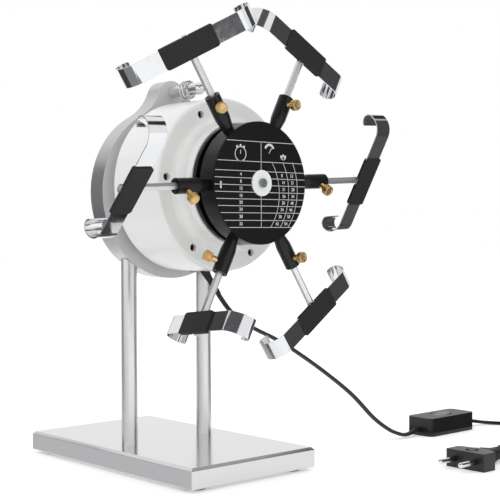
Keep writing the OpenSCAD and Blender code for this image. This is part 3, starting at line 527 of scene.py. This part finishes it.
def turned(bm, profile, steps=48):
    """Spins a profile of (radius, height) points about Z into a closed turned piece."""
    verts = [bm.verts.new((radius, 0, height)) for radius, height in profile]
    edges = [bm.edges.new(pair) for pair in zip(verts, verts[1:])]
    bmesh.ops.spin(bm, geom=verts + edges, cent=ZERO, axis=Z, dvec=ZERO, angle=2 * pi, steps=steps,
                   use_merge=True)
    bmesh.ops.remove_doubles(bm, verts=bm.verts, dist=WELD)
    bmesh.ops.recalc_face_normals(bm, faces=bm.faces)


# Holders


STRIP_EASE, FERRULE_EASE = 0.16, 0.3
BEND_STEPS, CURL_STEPS = 24, 36


def whole(bm):
    """Every element of a bmesh."""
    return bm.verts[:] + bm.edges[:] + bm.faces[:]


def spring_strip(i):
    """Spring strip: flat in the middle, its ends bent back and curled, with a ferrule on its back."""
    bm = bmesh.new()
    flat = Matrix.Translation((0, 0, STRIP_MID + STRIP_T / 2)) @ Matrix.Diagonal(
        (STRIP_W / 2, STRIP_HALF, 1, 1))
    bmesh.ops.create_grid(bm, x_segments=1, y_segments=8, size=1, matrix=flat)
    for side in (1, -1):
        edges = [e for e in bm.edges if all(abs(v.co.y - side * STRIP_HALF) < TOUCH for v in e.verts)]
        bend = bmesh.ops.spin(bm, geom=edges, cent=(0, side * STRIP_HALF, STRIP_MID - BEND_R), axis=X,
                              dvec=ZERO, angle=-side * radians(BEND_TURN), steps=BEND_STEPS)["geom_last"]
        low = STRIP_MID - BEND_R - TAIL_L
        tail_piece = bmesh.ops.extrude_edge_only(bm, edges=moved(bend, bmesh.types.BMEdge))["geom"]
        bmesh.ops.translate(bm, verts=moved(tail_piece, bmesh.types.BMVert), vec=(0, 0, -TAIL_L))
        last = [e for e in moved(tail_piece, bmesh.types.BMEdge)
                if all(abs(v.co.z - low) < TOUCH for v in e.verts)]
        centre = (0, side * (STRIP_HALF + BEND_R - CURL_R), low)
        bmesh.ops.spin(bm, geom=last, cent=centre, axis=X, dvec=ZERO, angle=-side * radians(CURL_TURN),
                       steps=CURL_STEPS)
    bmesh.ops.remove_doubles(bm, verts=bm.verts, dist=WELD)
    bmesh.ops.recalc_face_normals(bm, faces=bm.faces)
    top = max(bm.faces, key=lambda face: face.calc_center_median().z)
    if top.normal.z < 0:
        bmesh.ops.reverse_faces(bm, faces=bm.faces)
    bmesh.ops.solidify(bm, geom=bm.faces[:], thickness=STRIP_T)
    ease(bm, sharp_edges(bm, 60), STRIP_EASE)
    strip_top = max(v.co.z for v in bm.verts)
    bmesh.ops.translate(bm, verts=bm.verts, vec=(0, 0, STRIP_MID + STRIP_T / 2 - strip_top))

    tube = bmesh.new()
    half, narrow = FERRULE_L / 2, FERRULE_R - FERRULE_EASE
    turned(tube, [(SPIGOT_R, -half), (narrow, -half), (FERRULE_R, FERRULE_EASE - half),
                  (FERRULE_R, half - FERRULE_EASE), (narrow, half), (SPIGOT_R, half), (SPIGOT_R, -half)])
    bmesh.ops.rotate(tube, cent=ZERO, matrix=Matrix.Rotation(radians(90), 3, "Y"), verts=tube.verts)
    cut = bmesh.ops.bisect_plane(tube, geom=whole(tube), dist=WELD, plane_co=(0, 0, FERRULE_CUT),
                                 plane_no=Z, clear_outer=True)["geom_cut"]
    bmesh.ops.edgenet_fill(tube, edges=moved(cut, bmesh.types.BMEdge))
    bmesh.ops.recalc_face_normals(tube, faces=tube.faces)
    held = bpy.data.meshes.new("ferrule")
    tube.to_mesh(held)
    tube.free()
    bm.from_mesh(held)
    bpy.data.meshes.remove(held)
    place(bm, holder_frame(i))
    node = f"strip_{i}"
    return finish_piece(bm, f"spring_strip_{i}", SPRING, BODY_OF[node], [node], weighted=True)


GRIP_L = 41
GRIP_X = (-7.9, 8.3)
GRIP_Z = (1.1, 2.1, 2.9, 4.1)
GRIP_WALL_X = 7.2
GRIP_INNER_ROUND, GRIP_OUTER_ROUND, GRIP_EASE = 2.2, 1, 0.3


def rubber_grip(i):
    """Rubber grip: a channel pushed over the strip's front, outer edge and back."""
    (x0, x1), (z0, z1, z2, z3) = GRIP_X, GRIP_Z
    bm = bmesh.new()
    outline = [(x0, z0), (x1, z0), (x1, z3), (x0, z3), (x0, z2), (GRIP_WALL_X, z2), (GRIP_WALL_X, z1),
               (x0, z1)]
    face = bm.faces.new([bm.verts.new((x, -GRIP_L / 2, z)) for x, z in outline])
    grown = bmesh.ops.extrude_face_region(bm, geom=[face])["geom"]
    bmesh.ops.translate(bm, verts=moved(grown, bmesh.types.BMVert), vec=(0, GRIP_L, 0))
    bmesh.ops.recalc_face_normals(bm, faces=bm.faces)
    # The back wall leaves a gap for the ferrule
    for point, way in (((0, -FERRULE_R, 0), Y), ((0, FERRULE_R, 0), Y), ((0, 0, z1), Z)):
        bmesh.ops.bisect_plane(bm, geom=whole(bm), dist=WELD, plane_co=point, plane_no=way)
    gone = [f for f in bm.faces
            if abs(f.calc_center_median().y) < FERRULE_R and f.calc_center_median().z < z1 + TOUCH]
    bmesh.ops.delete(bm, geom=gone, context="FACES")

    def corner(x, y, z):
        """The vertex nearest to a point."""
        return min(bm.verts, key=lambda v: (v.co - Vector((x, y, z))).length)

    wall = ((x0, z0), (x1, z0), (x1, z1), (GRIP_WALL_X, z1), (x0, z1))
    floor_of_gap = ((GRIP_WALL_X, -FERRULE_R), (x1, -FERRULE_R), (x1, FERRULE_R), (GRIP_WALL_X, FERRULE_R))
    for y in (-FERRULE_R, FERRULE_R):
        bm.faces.new([corner(x, y, z) for x, z in wall])
    bm.faces.new([corner(x, y, z1) for x, y in floor_of_gap])
    bmesh.ops.remove_doubles(bm, verts=bm.verts, dist=WELD)
    bmesh.ops.recalc_face_normals(bm, faces=bm.faces)

    def at_corner(vert, x):
        """Whether a vertex lies at one of the grip's ends and at x."""
        return abs(vert.co.x - x) < TOUCH and abs(abs(vert.co.y) - GRIP_L / 2) < TOUCH

    for x, radius in ((x0, GRIP_INNER_ROUND), (x1, GRIP_OUTER_ROUND)):
        ends = [e for e in sharp_edges(bm) if all(at_corner(v, x) for v in e.verts)
                and abs(e.verts[0].co.z - e.verts[1].co.z) > 0.1]
        ease(bm, ends, radius, 5)
    ease(bm, sharp_edges(bm, 40), GRIP_EASE, 3)
    place(bm, holder_frame(i))
    node = f"grip_{i}"
    return finish_piece(bm, f"rubber_{node}", RUBBER, BODY_OF[node], [node], weighted=True)


RIDGES, RIDGE_DEEP = 40, 0.28
CLAMP_TIP, CLAMP_R, CLAMP_EASE = 3.2, 1.5, 0.4
COLLAR_Z, COLLAR_R = 6.6, 2.3
HEAD_BEVEL, DISH_RIM, DISH_WALL, DISH_EDGE, DISH_DEEP = 0.6, 1.3, 1.7, 0.25, 0.3


def knurled_screw(i):
    """Clamp screw: a knurled brass head, bevelled and dished, with a collar and a plain shank."""
    foot, top, radius = CLAMP_HEAD
    bm = bmesh.new()
    turned(bm, [(0, CLAMP_TIP), (CLAMP_R - CLAMP_EASE, CLAMP_TIP), (CLAMP_R, CLAMP_TIP + CLAMP_EASE),
                (CLAMP_R, COLLAR_Z), (COLLAR_R, COLLAR_Z), (COLLAR_R, foot),
                (radius - HEAD_BEVEL, foot), (radius, foot + HEAD_BEVEL),
                (radius, top - HEAD_BEVEL), (radius - HEAD_BEVEL, top),
                (radius - DISH_RIM, top), (radius - DISH_WALL, top - DISH_EDGE),
                (0, top - DISH_DEEP)], 4 * RIDGES)
    # Four steps to a ridge: two stay proud and two sink
    for vert in bm.verts:
        rim = Vector(vert.co[:2])
        if rim.length > radius - 0.1 and round(4 * RIDGES * atan2(rim.y, rim.x) / (2 * pi)) % 4 >= 2:
            vert.co.xy = rim * (1 - RIDGE_DEEP / radius)
    place(bm, clamp_frame(i))
    node = f"clamp_screw_{i}"
    return finish_piece(bm, f"knurled_screw_{i}", BRASS, BODY_OF[node], [node], sharp=20)


for arm in range(1, ARMS + 1):
    spring_strip(arm)
    rubber_grip(arm)
    knurled_screw(arm)
    eased(f"rod_{arm}", GROUND, 0.2)

# Stand, housing and rotor

eased("base_plate", SATIN, 0.25)
eased("post_left", TURNED, 0.3)
eased("post_right", TURNED, 0.3)
plate = eased("frame_plate", BLASTED, 0.5, steps=3)
plate.data.materials.append(MILLED)
for side in plate.data.polygons:
    side.material_index = int(abs(side.normal.y) < 0.5)
eased("rubber_feet", RUBBER, 0.4)
eased("mounting_flange", BLASTED, 0.3)
eased("housing_shell", LACQUER, 0.3)
eased("shell_side_screws", SCREW, 0.15)
eased("shell_front_screws", DARK_SCREW, 0.15)
eased("bearing_cap", ANODISE, 0.4)
eased("cap_screws", BRIGHT, 0.15)
eased("rotor_drum", ANODISE, 0.5, steps=3)
eased("dial_plate", DIAL, 0.2)
eased("hub_washer", NYLON, 0.25)
eased("hub_screw", SCREW, 0.15)
eased("arm_sleeves", ANODISE, 0.35)
eased("hanger_stud", BRIGHT, 0.3)
eased("stud_spacer", TURNED, 0.3)
eased("stud_dome_nut", BRIGHT, 0.3)
eased("stud_clip", BRIGHT, 0.1)
for inner, look in (("frame_screws", SCREW), ("bearing_carrier", BLASTED), ("shaft_bush", BRONZE),
                    ("gear_motor", SCREW), ("motor_screws", SCREW), ("drive_shaft", BRIGHT),
                    ("terminal_block", NYLON)):
    as_made(inner, look)

# Print on the dial: x to the right and z up, in millimetres from the hub, as seen from the front

INK_T = 0.06
LINE_W = 0.38
NUMBER_H, NUMBER_X = 2.2, -19.4
# A font's size over the height of its figures, and how much its strokes are widened
FONT_SIZE, FONT_WEIGHT = 1.45, 0.05
STOPWATCH, STOPWATCH_R = (-19.6, 20.2), 5.1
GAUGE, GAUGE_R = (8.1, 23.6), 4.2
PETALS, PETAL_OUT, PETAL_SIZE = (21.8, 17.2, 0), 2.2, (1.1, 2.1, 1, 1)
ROWS = [29.5, 15.2, 8.3, 3.3, -1.7, -6.7, -11.6, -16.5, -21.4, -26.8, -31.8]
ARCS = [[(10.5, 15.2), (17.8, -6), (9.1, -31.8)], [(21.4, 15.6), (27.2, -6), (18.5, -31.8)],
        [(31, 15.9), (36, -4), (26.3, -31.8)]]
LEFT_NUMBERS = [4, 8, 12, 16, 20, 24, 28, 32]
LEFT_AT = [5.8, 0.8, -4.2, -9.2, -14.1, -19, -24.1, -29.3]
RIGHT_NUMBERS = [(8, 12), (14, 21), (21, 28), (26, 34), (30, 40), (34, 46), (38, 50), (42, 54)]
INK_FRAME = HEAD @ Matrix.Translation((0, 0, DIAL_FRONT))

ink = bmesh.new()


def raise_ink(faces):
    """Gives flat print its thickness."""
    grown = bmesh.ops.extrude_face_region(ink, geom=faces)["geom"]
    bmesh.ops.translate(ink, verts=moved(grown, bmesh.types.BMVert), vec=(0, 0, INK_T))


def faces_of(verts):
    """The faces that meet at any of some vertices."""
    return list({f for v in verts for f in v.link_faces})


def bar(x, z, width, height, turn=0.0):
    """A printed bar with its middle at (x, z)."""
    put = Matrix.Translation((x, z, 0)) @ Matrix.Rotation(radians(turn), 4, "Z") @ Matrix.Diagonal(
        (width / 2, height / 2, 1, 1))
    verts = bmesh.ops.create_grid(ink, x_segments=1, y_segments=1, size=1, matrix=put)["verts"]
    raise_ink(faces_of(verts))


def ring_line(centre, radius, start, angle, width=LINE_W, steps=32):
    """A printed line along an arc, start and angle in degrees."""
    a = radians(start)
    ends = [ink.verts.new((centre[0] + r * cos(a), centre[1] + r * sin(a), 0))
            for r in (radius - width / 2, radius + width / 2)]
    edge = ink.edges.new(ends)
    before = set(ink.faces)
    bmesh.ops.spin(ink, geom=ends + [edge], cent=(*centre, 0), axis=Z, dvec=ZERO, angle=radians(angle),
                   steps=steps, use_merge=abs(angle) >= 360)
    raise_ink([f for f in ink.faces if f not in before])


def arc_through(a, b, c):
    """Centre, radius, start and angle of the arc through three points."""
    (ax, az), (bx, bz), (cx, cz) = a, b, c
    d = 2 * (ax * (bz - cz) + bx * (cz - az) + cx * (az - bz))
    sa, sb, sc = ax * ax + az * az, bx * bx + bz * bz, cx * cx + cz * cz
    x = (sa * (bz - cz) + sb * (cz - az) + sc * (az - bz)) / d
    z = (sa * (cx - bx) + sb * (ax - cx) + sc * (bx - ax)) / d
    start, end = (degrees(atan2(p[1] - z, p[0] - x)) for p in (a, c))
    return (x, z), hypot(ax - x, az - z), start, (end - start + 180) % 360 - 180


def number(value, x, z):
    """A printed number with its middle at (x, z)."""
    curve = bpy.data.curves.new("number", "FONT")
    curve.body = str(value)
    curve.align_x, curve.align_y = "CENTER", "CENTER"
    curve.size = NUMBER_H * FONT_SIZE
    curve.resolution_u = 3
    curve.offset = FONT_WEIGHT
    holder = bpy.data.objects.new("number", curve)
    bpy.context.scene.collection.objects.link(holder)
    bpy.context.view_layer.update()
    flat = holder.evaluated_get(bpy.context.evaluated_depsgraph_get()).to_mesh()
    before = set(ink.faces)
    first = len(ink.verts)
    ink.from_mesh(flat)
    ink.verts.ensure_lookup_table()
    bmesh.ops.translate(ink, verts=ink.verts[first:], vec=(x, z, 0))
    raise_ink([f for f in ink.faces if f not in before])
    holder.to_mesh_clear()
    bpy.data.objects.remove(holder)
    bpy.data.curves.remove(curve)


EDGE_R = DRUM_R - 0.4
for z in ROWS:
    chord = sqrt(EDGE_R ** 2 - z ** 2)
    bar(0, z, 2 * chord, LINE_W)
bar(0, (ROWS[0] + ROWS[-1]) / 2, LINE_W, ROWS[0] - ROWS[-1])
arcs = [arc_through(*points) for points in ARCS]
for arc in arcs:
    ring_line(*arc)
for value, z in zip(LEFT_NUMBERS, LEFT_AT):
    number(value, NUMBER_X, z)


def across(k, z):
    """Where arc k crosses a height."""
    (x, centre_z), radius = arcs[k][:2]
    return x + sqrt(radius ** 2 - (z - centre_z) ** 2)


for pair, z in zip(RIGHT_NUMBERS, LEFT_AT):
    for k, value in enumerate(pair):
        number(value, (across(k, z) + across(k + 1, z)) / 2, z)
# Stopwatch: its case, three buttons and a hand
ring_line(STOPWATCH, STOPWATCH_R, 0, 360, 0.6)
for lean in (-32, 0, 32):
    out = STOPWATCH_R + 0.9
    bar(STOPWATCH[0] - out * sin(radians(lean)), STOPWATCH[1] + out * cos(radians(lean)), 1.5, 1.5, lean)
bar(STOPWATCH[0], STOPWATCH[1] + 1.4, 0.5, 2.8)
# Gauge: its scale and a pointer
ring_line(GAUGE, GAUGE_R, 20, 140, 1.7, 24)
bar(GAUGE[0] + 0.8, GAUGE[1] - 0.2, 0.5, 4.6, -32)
# Three petals
for lean in (-38, 0, 38):
    petal = (Matrix.Translation(PETALS) @ Matrix.Rotation(radians(lean), 4, "Z")
             @ Matrix.Translation((0, PETAL_OUT, 0)) @ Matrix.Diagonal(PETAL_SIZE))
    verts = bmesh.ops.create_circle(ink, cap_ends=True, segments=20, radius=1, matrix=petal)["verts"]
    raise_ink(faces_of(verts))
# Index mark at the dial's edge
bar(-38, -2, 1.3, 5)
bmesh.ops.recalc_face_normals(ink, faces=ink.faces)
place(ink, INK_FRAME)
finish_piece(ink, "dial_print", INK, BODY_OF["dial_plate"], sharp=20)

# Strain relief, switch and plug

RELIEF_R, RELIEF_TIP, RELIEF_ROOT, RELIEF_NECK = 3.25, 2.85, -5.8, 1.8
RIBS, RIB_FIRST, RIB_PITCH, RIB_DEEP = 7, 2.4, 2.6, 0.3
RELIEF_OVAL, OVAL_FROM, OVAL_L = 0.3, 1, 8

relief = bmesh.new()
profile = [(0, RELIEF_ROOT), (RELIEF_R, RELIEF_ROOT), (RELIEF_R, RELIEF_NECK)]
for k in range(RIBS):
    low, high = RIB_FIRST + RIB_PITCH * k, RIB_FIRST + RIB_PITCH * (k + 1)
    wide = RELIEF_R + (RELIEF_TIP - RELIEF_R) * low / GLAND_TAIL
    narrow = wide - RIB_DEEP
    profile += [(wide, low), (wide, high - 0.9), (narrow, high - 0.75), (narrow, high - 0.1)]
profile += [(RELIEF_TIP, GLAND_TAIL - 1.1), (RELIEF_TIP, GLAND_TAIL - 0.3), (RELIEF_TIP - 0.2, GLAND_TAIL),
            (0, GLAND_TAIL)]
turned(relief, profile, 40)
# Round where it passes the shell, oval as the flat lead beyond it
for vert in relief.verts:
    vert.co.x *= 1 - RELIEF_OVAL * max(0, min(1, (vert.co.z - OVAL_FROM) / OVAL_L))
place(relief, Matrix.Translation(GLAND_ROOT) @ Matrix.Rotation(pi - GLAND_TILT, 4, "Y"))
gland = finish_piece(relief, "strain_relief", RUBBER, BODY_OF["cable_gland"], ["cable_gland"],
                     sharp=25)

case_low = eased("switch_case_lower", PLASTIC, 0.8, steps=4)
case_top = eased("switch_case_upper", PLASTIC, 0.9, steps=4)
rocker = eased("switch_rocker", GLOSS, 0.7, steps=4)
plug = eased("plug_body", PLASTIC, 1.0, steps=4)
pins = eased("plug_pins", BRIGHT, 0.2)

# The plug's own frame: +X from its lead end to its pins
PLUG_FRAME = Matrix.Translation((PLUG_X, PLUG_Y, PLUG_T / 2)) @ Matrix.Rotation(pi, 4, "Z")
NECK_RIBS, NECK_FIRST, NECK_PITCH = 9, 3.6, 2.4
# Thickness along the plug, and how far it stands out
RIB_SIZE, FLANGE_SIZE, FLANGE_X = (1.1, 0.5), (2, 1.1), 1.1
NECK_ROUND, NECK_EASE = 2.2, 0.25


def neck_size(x):
    """Half width and half height of the plug's neck, x from its lead end."""
    half_w = 4 + 0.4 * x / 12 if x < 12 else 4.4 + 3.6 * (x - 12) / 18
    return half_w, 4 if x < 14 else 4 + (PLUG_T / 2 - 4) * (x - 14) / 20


neck = bmesh.new()
ribs = [(FLANGE_X, *FLANGE_SIZE)] + [(NECK_FIRST + NECK_PITCH * k, *RIB_SIZE) for k in range(NECK_RIBS)]
for x, thick, proud in ribs:
    half_w, half_h = neck_size(x)
    block = Matrix.Translation((x, 0, 0)) @ Matrix.Diagonal(
        (thick, 2 * (half_w + proud), 2 * (half_h + proud), 1))
    verts = bmesh.ops.create_cube(neck, size=1, matrix=block)["verts"]
    edges = {e for v in verts for e in v.link_edges}
    ease(neck, [e for e in edges if abs(e.verts[0].co.x - e.verts[1].co.x) > 0.5], NECK_ROUND, 4)
ease(neck, sharp_edges(neck, 60), NECK_EASE)
place(neck, PLUG_FRAME)
neck_ribs = finish_piece(neck, "plug_neck_ribs", PLASTIC, BODY_OF["plug_body"])

# Black roots of the plug's pins
PIN_GAP, PIN_SLEEVE_R, PIN_SLEEVE_IN, PIN_SLEEVE_END, PIN_SLEEVE_L = 19, 2.06, 1.7, 1.95, 8
SLEEVE_SUNK, SLEEVE_TAPER = 0.3, 0.2
for name, side in (("left", 1), ("right", -1)):
    tube = bmesh.new()
    turned(tube, [(PIN_SLEEVE_IN, 0), (PIN_SLEEVE_R, 0), (PIN_SLEEVE_R, PIN_SLEEVE_L),
                  (PIN_SLEEVE_END, PIN_SLEEVE_L + SLEEVE_TAPER), (PIN_SLEEVE_IN, PIN_SLEEVE_L + SLEEVE_TAPER),
                  (PIN_SLEEVE_IN, 0)], 32)
    root = Matrix.Translation((PLUG_L - SLEEVE_SUNK, side * PIN_GAP / 2, 0))
    place(tube, PLUG_FRAME @ root @ Matrix.Rotation(radians(90), 4, "Y"))
    finish_piece(tube, f"pin_sleeve_{name}", PLASTIC, BODY_OF["plug_pins"])


# Floor, cards and light

FLOOR_HALF, FLOOR_GLOW = 6, 0.3
CEILING = 1.1


def seen(tree):
    """1 for what the camera or a reflection sees, 0 for the light that falls on the object."""
    path = add(tree, "LightPath")
    direct = add(tree, "Math", settings={"operation": "MAXIMUM"})
    both = add(tree, "Math", settings={"operation": "MAXIMUM"})
    tree.links.new(path.outputs["Is Camera Ray"], direct.inputs[0])
    tree.links.new(path.outputs["Is Glossy Ray"], direct.inputs[1])
    tree.links.new(direct.outputs[0], both.inputs[0])
    tree.links.new(path.outputs["Is Transmission Ray"], both.inputs[1])
    return both.outputs[0]


def sheet_of(name, corners, look):
    """A flat four-sided sheet for the floor or a studio card, corners in metres."""
    bm = bmesh.new()
    bm.faces.new([bm.verts.new(corner) for corner in corners])
    mesh = bpy.data.meshes.new(name)
    bm.to_mesh(mesh)
    bm.free()
    made = bpy.data.objects.new(name, mesh)
    bpy.context.scene.collection.objects.link(made)
    made.data.materials.append(look)
    return made


floor_look, floor_tree, floor_shader, _ = material("pale_floor", "#f6f6f6", 0.7, Specular_IOR_Level=0,
                                                   Emission_Color=(1, 1, 1, 1))
glow = add(floor_tree, "Math", settings={"operation": "MULTIPLY"})
floor_tree.links.new(seen(floor_tree), glow.inputs[0])
glow.inputs[1].default_value = FLOOR_GLOW
floor_tree.links.new(glow.outputs[0], floor_shader.inputs["Emission Strength"])
sheet_of("floor", [(x * FLOOR_HALF, y * FLOOR_HALF, 0) for x, y in ((-1, -1), (1, -1), (1, 1), (-1, 1))],
         floor_look)


def card(name, code, corners):
    """A plain card that only reflections see, corners in metres: it gives bright metal something to show."""
    look = bpy.data.materials.new(name)
    look.use_nodes = True
    tree = look.node_tree
    tree.nodes.clear()
    glow = add(tree, "Emission", Color=colour(code), Strength=1)
    add(tree, "OutputMaterial", {"Surface": glow.outputs[0]})
    made = sheet_of(name, corners, look)
    made.visible_camera = made.visible_diffuse = made.visible_shadow = made.visible_transmission = False


def flat_card(name, code, height, *outline):
    """A level card at a height."""
    card(name, code, [(x, y, height) for x, y in outline])


def upright_card(name, code, low, high, near, far):
    """An upright card between two heights and two points on the floor."""
    card(name, code, [(*near, low), (*far, low), (*far, high), (*near, high)])


upright_card("dark_card_right", "#4c4c4e", 0, 1.1, (0.636, -0.88), (1.136, -0.33))
upright_card("grey_card_left", "#7c7c7e", 0, 0.6, (-0.85, 0.5), (-0.25, 0.867))
upright_card("dark_card_beside", "#48484a", 0.13, 0.162, (-0.098, -0.06), (-0.057, -0.06))
flat_card("dark_card_above", "#5c5c5e", CEILING, (-0.6, -1.6), (0.55, -1.0), (0.55, -0.45), (-0.6, -0.45))
flat_card("dark_card_over_left", "#5c5c5e", CEILING, (-1.4, -1.6), (-0.6, -1.6), (-0.6, 1.3), (-1.4, 1.3))
flat_card("pale_card_above", "#c0c0c2", CEILING, (0.55, -0.47), (1.3, -0.47), (1.3, -0.24), (0.55, -0.24))
flat_card("dark_card_edge", "#303032", CEILING, (0.55, -0.24), (1.2, -0.24), (1.2, 0.3), (0.55, 0.3))
flat_card("dark_card_corner", "#303032", CEILING, (0.55, -1.0), (1.2, -1.0), (1.2, -0.47), (0.55, -0.47))
flat_card("dark_card_low", "#58585a", 0.003, (0.22, -0.45), (0.7, -0.45), (0.7, 0.05), (0.22, 0.05))
flat_card("dark_card_foot", "#4a4a4c", 0.0035, (0.45, -0.45), (0.64, -0.88), (1.14, -0.33), (0.7, -0.2))
flat_card("grey_card_front", "#666668", 0.002, (-0.6, -1.2), (0.1, -1.2), (0.1, -0.77), (-0.6, -0.77))
flat_card("pale_card_floor", "#d4d4d6", 0.002, (-0.25, -0.15), (-0.063, -0.15), (-0.063, 0.75), (-0.25, 0.75))
flat_card("grey_card_floor", "#8e8e90", 0.002, (-0.75, -0.4), (-0.3, -0.4), (-0.3, 0.05), (-0.75, 0.05))
flat_card("dark_card_floor", "#444446", 0.002, (-0.75, 0.05), (-0.25, 0.05), (-0.25, 0.75), (-0.75, 0.75))

world = bpy.data.worlds.new("studio")
bpy.context.scene.world = world
world.use_nodes = True
sky = world.node_tree.nodes["Background"]
sky.inputs["Color"].default_value = (1, 1, 1, 1)
sky.inputs["Strength"].default_value = 1
